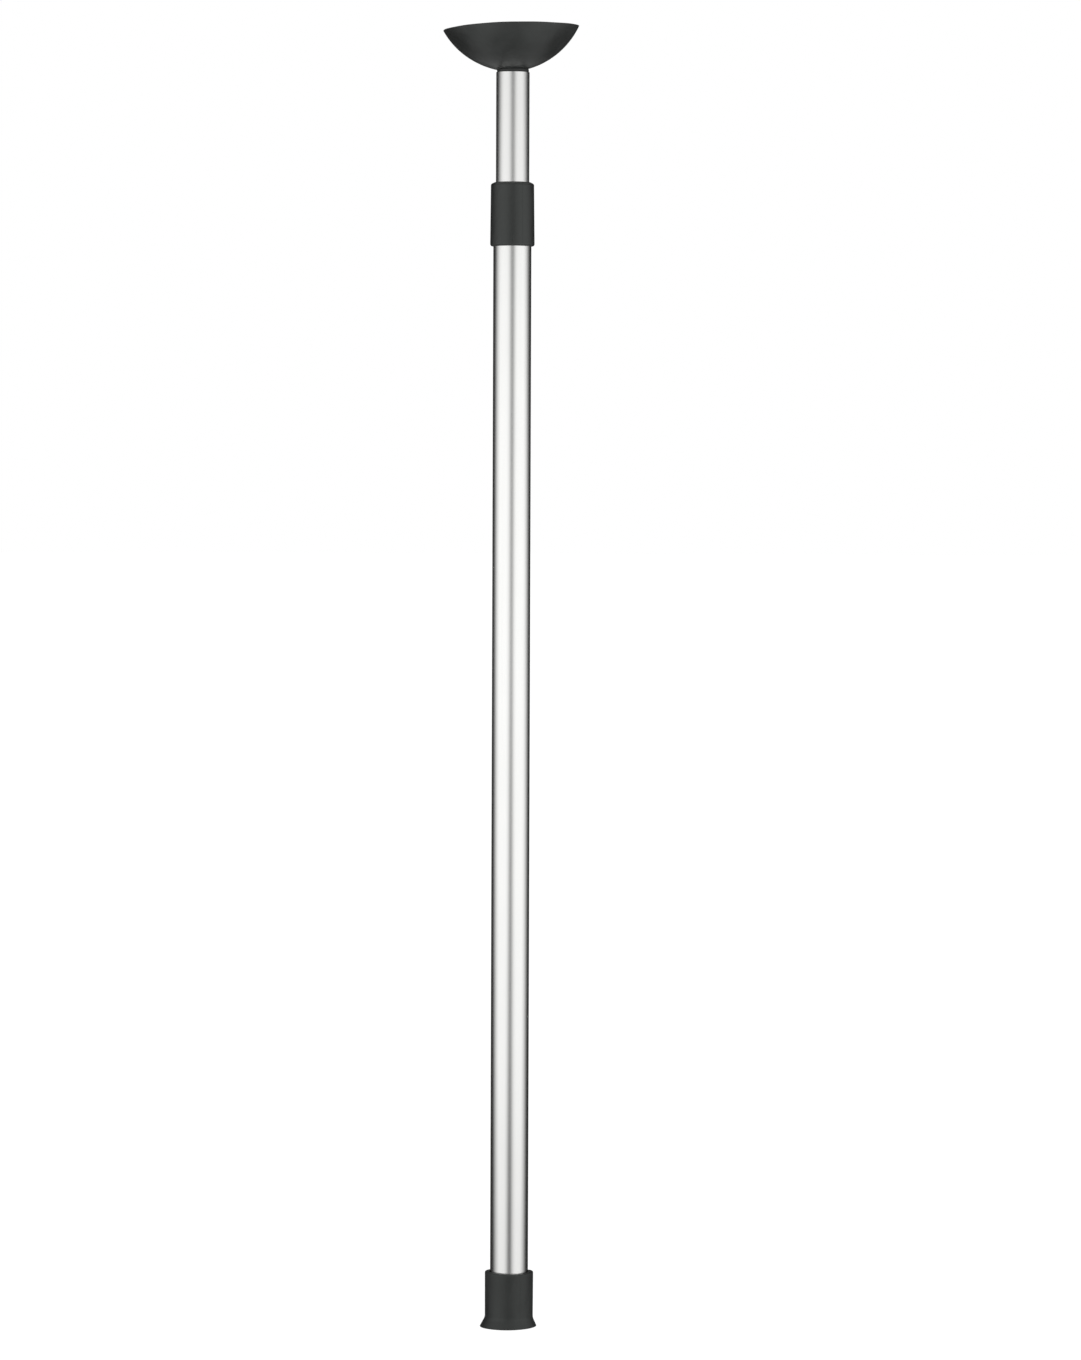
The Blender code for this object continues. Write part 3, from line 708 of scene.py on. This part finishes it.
WALL_R = 1.7                # the ring of soft light round the bar
WALL_LOW, WALL_HIGH = -2.60, 2.00
WALL_SEGMENTS = 72
WALL_TURN = math.radians(1.7)
WALL_MIDDLE = 0.52          # height where the light is widest
WALL_REACH = 0.65           # heights in the levels below are in units of this, from the middle
LIGHT_LEVEL = 1.12


def by_height(tree, share, points):
    """Levels at heights from -1.5 to 1.5 units off the middle."""
    return stops(tree, share, [((height + 1.5) / 3, level) for height, level in points])


def by_angle(tree, angle, points):
    """Levels at angles in degrees off the camera's side."""
    return stops(tree, angle, [(degrees / 180, level) for degrees, level in points])


def place_on_wall(tree):
    """How far round from the camera's side, from 0 to 1, and how high."""
    coords = add(tree, "ShaderNodeTexCoord").outputs["Object"]
    parts = add(tree, "ShaderNodeSeparateXYZ", {"Vector": coords}).outputs
    backwards = calc(tree, "MULTIPLY", parts["Y"], -1.0)
    angle = calc(tree, "ABSOLUTE", calc(tree, "ARCTAN2", parts["X"], backwards))
    return calc(tree, "MULTIPLY", angle, 1 / math.pi), parts["Z"]


def panel_light(tree, angle, off_squared, share):
    """Two wide panels, one to each side, that end sooner away from mid-height."""
    degrees_sooner = 11
    pulled = calc(tree, "MULTIPLY_ADD", off_squared, degrees_sooner / 180, angle)
    side = by_angle(tree, pulled, [
        (0, 1.0), (78, 1.0), (90, 0.84), (100, 0.66), (110, 0.42), (122, 0.18), (134, 0.04),
        (180, 0.03),
    ])
    upright = by_height(tree, share, [
        (-1.1, 0.79), (-0.9, 0.875), (-0.5, 0.955), (0.0, 0.985), (0.58, 0.985), (0.82, 0.85),
        (1.0, 0.81),
    ])
    return calc(tree, "MULTIPLY", side, upright)


def gap_light(tree, angle, off_squared, share):
    """The share of light left in the darker gap between the panels, which the camera looks through."""
    depth = by_height(tree, share, [
        (-1.0, 0.85), (-0.8, 0.73), (-0.3, 0.68), (0.0, 0.60), (0.25, 0.66), (0.68, 0.72),
        (0.82, 0.64), (1.0, 0.70),
    ])
    width = clamped(tree, off_squared, 0.0, 1.0, 1.0, 1.35)
    gap = by_angle(tree, calc(tree, "DIVIDE", angle, width), [
        (0, 1.0), (5, 0.93), (12, 0.45), (20, 0.12), (30, 0.0), (180, 0.0),
    ])
    return calc(tree, "SUBTRACT", 1.0, calc(tree, "MULTIPLY", depth, gap))


def wall_light(tree):
    """Brightness of the ring of light: two panels at the sides and a dimmer one low behind the bar.

    Well below the floor the ring is plainer.
    """
    angle, height = place_on_wall(tree)
    off_middle = calc(tree, "DIVIDE", calc(tree, "SUBTRACT", height, WALL_MIDDLE), WALL_REACH)
    off_limited = calc(tree, "MINIMUM", off_middle, 1.15)
    off_squared = calc(tree, "MULTIPLY", off_limited, off_limited)
    share = clamped(tree, off_middle, -1.5, 1.5)

    low_fade = clamped(tree, off_middle, -1.9, -1.25, 0.25, 1.0)
    high_fade = clamped(tree, off_middle, 1.3, 2.2, 1.0, 0.60)
    end_fade = calc(tree, "MULTIPLY", low_fade, high_fade)
    dimming = calc(tree, "MULTIPLY", end_fade, gap_light(tree, angle, off_squared, share))
    front = calc(tree, "MULTIPLY", panel_light(tree, angle, off_squared, share), dimming)

    rear = by_angle(tree, angle, [(0, 0.0), (154, 0.0), (165, 0.60), (180, 1.0)])
    rear = calc(tree, "MULTIPLY", rear, clamped(tree, height, -0.10, 0.40, 0.85, 0.0))
    upper = calc(tree, "ADD", front, rear)

    lower = by_angle(tree, angle, [
        (0, 0.46), (20, 0.56), (45, 0.78), (75, 0.72), (110, 0.42), (140, 0.33), (180, 0.34),
    ])
    below = clamped(tree, height, -0.65, -0.40, 1.0, 0.0)
    upper = calc(tree, "MULTIPLY", upper, calc(tree, "SUBTRACT", 1.0, below))
    lower = calc(tree, "MULTIPLY", lower, below)
    return calc(tree, "MULTIPLY", calc(tree, "ADD", upper, lower), LIGHT_LEVEL)


def wall(name, radius, look):
    """An upright cylinder round the bar that only reflections and light see."""
    bm = bmesh.new()
    angles = [2 * math.pi * i / WALL_SEGMENTS for i in range(WALL_SEGMENTS)]
    rows = []
    for z in (WALL_LOW, WALL_HIGH):
        rows.append([bm.verts.new((radius * math.cos(a), radius * math.sin(a), z)) for a in angles])
    for i in range(WALL_SEGMENTS):
        j = (i + 1) % WALL_SEGMENTS
        bm.faces.new((rows[0][i], rows[0][j], rows[1][j], rows[1][i]))
    made = as_object(name, bm)
    made.data.materials.append(look)
    made.rotation_euler.z = WALL_TURN
    hide_light(made)
    return made


def hide_light(made):
    """Hides a light from the camera and from shadows."""
    made.visible_camera = False
    made.visible_shadow = False


def make_light_ring():
    """The light that every piece mirrors."""
    made, tree = new_material("panel_light")
    emission = add(tree, "ShaderNodeEmission", {"Color": WHITE, "Strength": wall_light(tree)})
    add(tree, "ShaderNodeOutputMaterial", {"Surface": emission.outputs["Emission"]})
    wall("light_ring", WALL_R, made)


def clear_glow(name):
    """A material that glows and lets everything behind it through. Returns it with its tree and glow."""
    made, tree = new_material(name)
    emission = add(tree, "ShaderNodeEmission", {"Color": WHITE, "Strength": 1.0})
    clear = add(tree, "ShaderNodeBsdfTransparent")
    both = add(tree, "ShaderNodeAddShader", {0: emission.outputs["Emission"], 1: clear.outputs["BSDF"]})
    add(tree, "ShaderNodeOutputMaterial", {"Surface": both.outputs["Shader"]})
    return made, tree, emission


def make_tube_lights(tubes):
    """Two lights that only the tubes mirror: one behind the bar, one far below for views from above."""
    rear_look, tree, emission = clear_glow("rear_glow")
    angle = place_on_wall(tree)[0]
    level = by_angle(tree, angle, [
        (0, 0.0), (136, 0.0), (145, 0.05), (153, 0.16), (162, 0.46), (170, 0.64), (180, 0.64),
    ])
    tree.links.new(calc(tree, "MULTIPLY", level, LIGHT_LEVEL), emission.inputs["Strength"])
    inside_ring = WALL_R - 0.02
    rear = wall("rear_light", inside_ring, rear_look)

    bm = bmesh.new()
    bmesh.ops.create_circle(bm, cap_ends=True, segments=WALL_SEGMENTS, radius=WALL_R)
    under = as_object("under_light", bm)
    under.location.z = WALL_LOW
    under.data.materials.append(clear_glow("under_glow")[0])
    hide_light(under)

    lit = bpy.data.collections.new("tubes_only")
    for tube in tubes:
        lit.objects.link(tube)
    for light in (rear, under):
        light.light_linking.receiver_collection = lit


def make_floor():
    """A white floor that is bright enough to match the backdrop, with a faint contact shadow."""
    made, tree = new_material("white_floor")
    grain = noise(tree, (3.0, 3.0, 3.0), 2.0, 0.5)
    shade = mixed(tree, clamped(tree, grain, 0.3, 0.7), (0.88, 0.88, 0.88), (0.90, 0.90, 0.90))
    diffuse = add(tree, "ShaderNodeBsdfDiffuse", {"Color": shade, "Roughness": 0.5})
    glow = add(tree, "ShaderNodeEmission", {"Color": WHITE, "Strength": 1.13})
    diffuse_share = 0.12
    inputs = {0: diffuse_share, 1: glow.outputs["Emission"], 2: diffuse.outputs["BSDF"]}
    blend = add(tree, "ShaderNodeMixShader", inputs)
    add(tree, "ShaderNodeOutputMaterial", {"Surface": blend.outputs["Shader"]})
    floor_r, gap_under_foot = 60.0, 0.0001
    bm = bmesh.new()
    bmesh.ops.create_circle(bm, cap_ends=True, segments=64, radius=floor_r)
    floor = as_object("floor", bm)
    floor.location.z = -gap_under_foot
    floor.data.materials.append(made)
    floor.visible_glossy = False


def make_world():
    """Plain white where the camera sees it. Everything else sees an even fill, brighter overhead."""
    world = bpy.data.worlds.new("studio")
    bpy.context.scene.world = world
    world.use_nodes = True
    tree = world.node_tree
    tree.nodes.clear()
    seen = add(tree, "ShaderNodeBackground", {"Color": WHITE, "Strength": 1.0})
    around, overhead = 0.33, 0.90
    direction = add(tree, "ShaderNodeTexCoord").outputs["Generated"]
    upward = add(tree, "ShaderNodeSeparateXYZ", {"Vector": direction}).outputs["Z"]
    upward_share = clamped(tree, upward, -1.0, 1.0)
    level = stops(tree, upward_share, [(0.0, around), (0.84, around), (0.91, overhead), (1.0, overhead)])
    fill = add(tree, "ShaderNodeBackground", {"Color": WHITE, "Strength": level})
    path = add(tree, "ShaderNodeLightPath").outputs["Is Camera Ray"]
    inputs = {0: path, 1: fill.outputs["Background"], 2: seen.outputs["Background"]}
    both = add(tree, "ShaderNodeMixShader", inputs)
    add(tree, "ShaderNodeOutputWorld", {"Surface": both.outputs["Shader"]})


def make_camera():
    """A long lens, square on to the bar and a little above its middle."""
    place = (0.0249, -4.62, 0.703)
    pitch_down, roll = 1.937, 0.20
    data = bpy.data.cameras.new("camera")
    data.sensor_width = 36.0
    data.lens = 145.32
    camera = bpy.data.objects.new("camera", data)
    bpy.context.scene.collection.objects.link(camera)
    camera.matrix_world = (
        Matrix.Translation(place)
        @ Matrix.Rotation(math.radians(90 - pitch_down), 4, "X")
        @ Matrix.Rotation(math.radians(roll), 4, "Z")
    )
    bpy.context.scene.camera = camera


def main():
    """Builds the pieces and the studio."""
    looks = {
        "outer": aluminium("satin_aluminium_outer", seed=0.0, gloss_low=0.17),
        "inner": aluminium("satin_aluminium_inner", seed=1.7, gloss_low=0.21),
        "sleeve": rubber("sleeve_rubber", tone=0.0115, sheen=0.74, gloss_low=0.37),
        "foot": rubber("foot_rubber", tone=0.0132, sheen=0.57, gloss_low=0.38),
        "cup": rubber("cup_rubber", tone=0.0155, sheen=0.66, gloss_low=0.32, mould_lines=False),
        "neck": moulded_plastic("black_nylon", (0.030, 0.032, 0.031), 0.50, 0.60),
        "black_nylon": moulded_plastic("black_nylon_plug", (0.030, 0.032, 0.031), 0.42, 0.52),
        "nylon": moulded_plastic("natural_nylon", (0.72, 0.70, 0.63), 0.38, 0.50),
        "steel": plated_steel("zinc_plated_steel"),
        "cast": cast_metal("cast_zinc"),
    }
    tubes = make_tubes(looks)
    make_sleeve(looks)
    make_foot(looks)
    make_neck(looks)
    make_cup(looks)
    make_swivel(looks)
    make_spring(looks)
    dress_hidden_nodes(looks)
    make_light_ring()
    make_tube_lights(tubes)
    make_floor()
    make_world()
    make_camera()
    scene = bpy.context.scene
    scene.view_settings.view_transform = "Standard"
    scene.view_settings.look = "None"


main()
